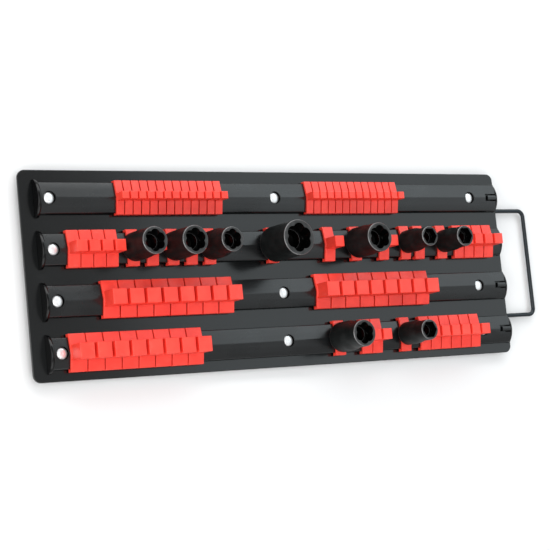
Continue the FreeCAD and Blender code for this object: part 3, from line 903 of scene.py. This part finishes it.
# Base and mouth diameters, length, height of the plain base, kind of recess.
SOCKETS = {
    "socket_22": (23.6, 22.3, 35.5, 16.0, "lobed"),
    "socket_23": (24.2, 23.5, 35.5, 16.0, "lobed"),
    "socket_20": (24.2, 20.6, 35.0, 15.0, "lobed"),
    "socket_30": (30.2, 30.0, 38.5, 14.0, "lobed"),
    "socket_26": (26.8, 25.3, 33.5, 15.0, "lobed"),
    "socket_17": (20.4, 17.3, 34.0, 14.0, "hex"),
    "socket_18": (20.4, 18.4, 32.0, 14.0, "hex"),
    "socket_23_short": (26.0, 22.8, 34.5, 14.0, "lobed"),
    "socket_18_short": (20.4, 17.8, 33.0, 14.0, "hex"),
}
phosphate = phosphated_steel()
for node, (base_diameter, mouth_diameter, length, taper_start, kind) in SOCKETS.items():
    low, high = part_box(node)
    x, y = (low.x + high.x) / 2 / MM, (low.y + high.y) / 2 / MM
    socket_mesh = socket_skin(node + "_steel", x, y, base_diameter, mouth_diameter, length,
                              taper_start, kind)
    smooth_mesh(socket_mesh, 40.0)
    socket_piece = new_piece(node + "_steel", socket_mesh, phosphate)
    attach(socket_piece, node)
    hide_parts(node)


# ---- Handle ----
# One length of 3.8 mm steel wire, bent into two legs, a grip and two inward
# toes, and dipped black.  It slides in the straps under the plate.

def dipped_wire():
    """Smooth black dip, glossy, thinner and paler where it is gripped."""
    material, shader, place = start_finish("black_dipped_wire")
    ripple = place.noise(6.0, 2.0)
    grain = place.noise(0.6, 2.0, 0.6)
    rubbed = place.noise(18.0, 2.0).between(0.5, 0.7)
    set_finish(shader, Base_Color=rubbed.blend((0.009, 0.014, 0.018, 1), (0.016, 0.022, 0.028, 1)),
               Roughness=0.14 + grain * 0.06 + rubbed * 0.06, Specular_IOR_Level=0.28,
               Coat_Weight=0.08 * (1 - rubbed), Coat_Roughness=0.06,
               Normal=bumped(ripple * 0.7 + grain * 0.3, 0.25, 0.05))
    return material


def wire_tree(name):
    """Node tree that rounds the corners of a route and sweeps the wire along it."""
    tree, given = start_tree(name, Route="Geometry", Wire_radius="Float")
    line = tree.nodes.new("GeometryNodeMeshToCurve")
    bend = tree.nodes.new("GeometryNodeInputNamedAttribute")
    bend.data_type = "FLOAT"
    bend.inputs["Name"].default_value = "bend"
    fillet = tree.nodes.new("GeometryNodeFilletCurve")
    fillet.mode = "POLY"
    fillet.inputs["Count"].default_value = 16
    section = tree.nodes.new("GeometryNodeCurvePrimitiveCircle")
    section.inputs["Resolution"].default_value = 28
    sweep = tree.nodes.new("GeometryNodeCurveToMesh")
    sweep.inputs["Fill Caps"].default_value = True
    join = tree.links.new
    join(given.outputs["Route"], line.inputs["Mesh"])
    join(line.outputs[0], fillet.inputs["Curve"])
    join(bend.outputs[0], fillet.inputs["Radius"])
    join(given.outputs["Wire radius"], section.inputs["Radius"])
    join(fillet.outputs[0], sweep.inputs["Curve"])
    join(section.outputs[0], sweep.inputs["Profile Curve"])
    return end_tree(tree, given, sweep)


wire_diameter = 3.8
wire_z = foot_height - 0.2 - wire_diameter / 2
leg_inset, grip_reach, toe_length = 34.5, 36.5, 10
grip_bend, toe_bend = 6, 5
strap_length = 12.0
strap_insets = (7.3, 43.3)
leg_y = plate_width / 2 - leg_inset
grip_x = plate_length / 2 + grip_reach
guide_x = [plate_length / 2 - inset - strap_length for inset in strap_insets]
toe_x = guide_x[1] - 0.3 - 5.0
route = [(toe_x, leg_y - toe_length), (toe_x, leg_y), (grip_x, leg_y), (grip_x, -leg_y),
         (toe_x, -leg_y), (toe_x, -leg_y + toe_length)]
route_mesh = bpy.data.meshes.new("handle_route")
route_mesh.from_pydata([(MM * x, MM * y, MM * wire_z) for x, y in route],
                       [(i, i + 1) for i in range(5)], [])
bends = route_mesh.attributes.new("bend", "FLOAT", "POINT")
bends.data.foreach_set("value", [0.0, MM * toe_bend, MM * grip_bend, MM * grip_bend,
                                 MM * toe_bend, 0.0])
black_dip = dipped_wire()
handle_mesh = made_by_tree("wire_handle", route_mesh, wire_tree("bent_wire"),
                           {"Wire radius": MM * wire_diameter / 2, "Finish": black_dip})
smooth_mesh(handle_mesh, 50.0)
handle = new_piece("wire_handle", handle_mesh, black_dip)
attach(handle, "handle")
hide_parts("carry_handle")


# ---- Guide straps ----
# Four hats of 1.2 mm steel strip, two round each leg of the handle, spot welded
# under the plate and powder coated with it.

strap_thickness, strap_flange, strap_room = 1.2, 6.0, 0.15


def strap_mesh():
    """Hat section about X = Y = 0, its heights from the floor."""
    inside = wire_diameter / 2 + strap_room
    outside = inside + strap_thickness
    bridge = wire_z - inside
    half = [(inside, foot_height), (outside + strap_flange, foot_height),
            (outside + strap_flange, foot_height - strap_thickness),
            (outside, foot_height - strap_thickness), (outside, bridge - strap_thickness)]
    outline = half + [(-y, z) for y, z in reversed(half)]
    outline += [(-inside, bridge), (inside, bridge)]
    bm = bmesh.new()
    faces = prism(bm, softened(outline, 0.35, 2), 0, strap_length, 0, base=0)
    rounded_box_edges(bm, faces, 0.12, 1)
    for side in (-1, 1):
        made = bmesh.ops.create_uvsphere(bm, u_segments=20, v_segments=8, radius=MM * 1.6)
        bmesh.ops.scale(bm, verts=made["verts"], vec=(1, 1, 0.22))
        bmesh.ops.translate(bm, verts=made["verts"],
                            vec=(MM * strap_length / 2, side * MM * (outside + strap_flange / 2),
                                 MM * (foot_height - strap_thickness)))
    return bmesh_to_mesh(bm, "strap")


strap_coat = powder_coat("strap_powder_coat", *CHARCOAL)
guides_mesh = set_out("guide_straps", strap_mesh(),
                      [(x, side * leg_y, 0) for x in guide_x for side in (-1, 1)], strap_coat)
smooth_mesh(guides_mesh)
guides = new_piece("guide_straps", guides_mesh, strap_coat)
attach(guides, "root")
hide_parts("handle_guides")


# ---- Floor and light ----
# A pale floor with a faint sheen, in an even white room.  sheen_box and
# far_side_box hang beyond the handle and lay a cool sheen on the black surfaces.
# The others light the left end, the near side, the far side and the top.

material, shader, place = start_finish("pale_floor")
mottle = place.noise(400.0, 2.0)
set_finish(shader, Base_Color=mottle.blend((0.775, 0.775, 0.78, 1), (0.80, 0.80, 0.80, 1)),
           Roughness=0.30 + mottle * 0.04, Specular_IOR_Level=0.5)
floor_mesh = bpy.data.meshes.new("pale_floor")
floor_mesh.from_pydata([(-4, -4, 0), (4, -4, 0), (4, 4, 0), (-4, 4, 0)], [], [(0, 1, 2, 3)])
floor_mesh.materials.append(material)
floor = bpy.data.objects.new("pale_floor", floor_mesh)
bpy.context.scene.collection.objects.link(floor)


def soft_box(name, place, aim, size, power, colour=(1.0, 1.0, 1.0)):
    """Square soft light that points from place to aim."""
    data = bpy.data.lights.new(name, "AREA")
    data.shape = "RECTANGLE"
    data.size, data.size_y = size
    data.energy = power
    data.color = colour
    lamp = bpy.data.objects.new(name, data)
    aimed = (Vector(place) - Vector(aim)).to_track_quat("Z", "Y").to_matrix().to_4x4()
    lamp.matrix_world = Matrix.Translation(place) @ aimed
    bpy.context.scene.collection.objects.link(lamp)


cool = (0.88, 1.0, 1.05)
soft_box("sheen_box", (1.65, 0.05, 1.6), (1.65, 0.05, 0), (1.9, 1.25), 6.9, cool)
soft_box("far_side_box", (1.75, 1.5, 1.6), (1.75, 1.5, 0), (1.8, 1.6), 16.5, cool)
soft_box("left_box", (-1.6, -0.5, 0.95), (0, 0, 0), (1.6, 1.3), 22.0)
soft_box("near_side_box", (0.1, -1.7, 1.2), (0, 0, 0), (1.4, 1.4), 10.5)
soft_box("back_box", (-0.2, 1.8, 1.1), (0, 0, 0), (2.6, 1.4), 33.0)
soft_box("overhead_box", (-0.5, -0.2, 1.9), (0, 0, 0), (1.3, 1.3), 9.0)
room = bpy.data.worlds.new("white_room")
room.use_nodes = True
room.node_tree.nodes["Background"].inputs["Color"].default_value = (1.0, 1.0, 1.0, 1.0)
room.node_tree.nodes["Background"].inputs["Strength"].default_value = 0.42
bpy.context.scene.world = room
bpy.context.scene.view_settings.view_transform = "Standard"
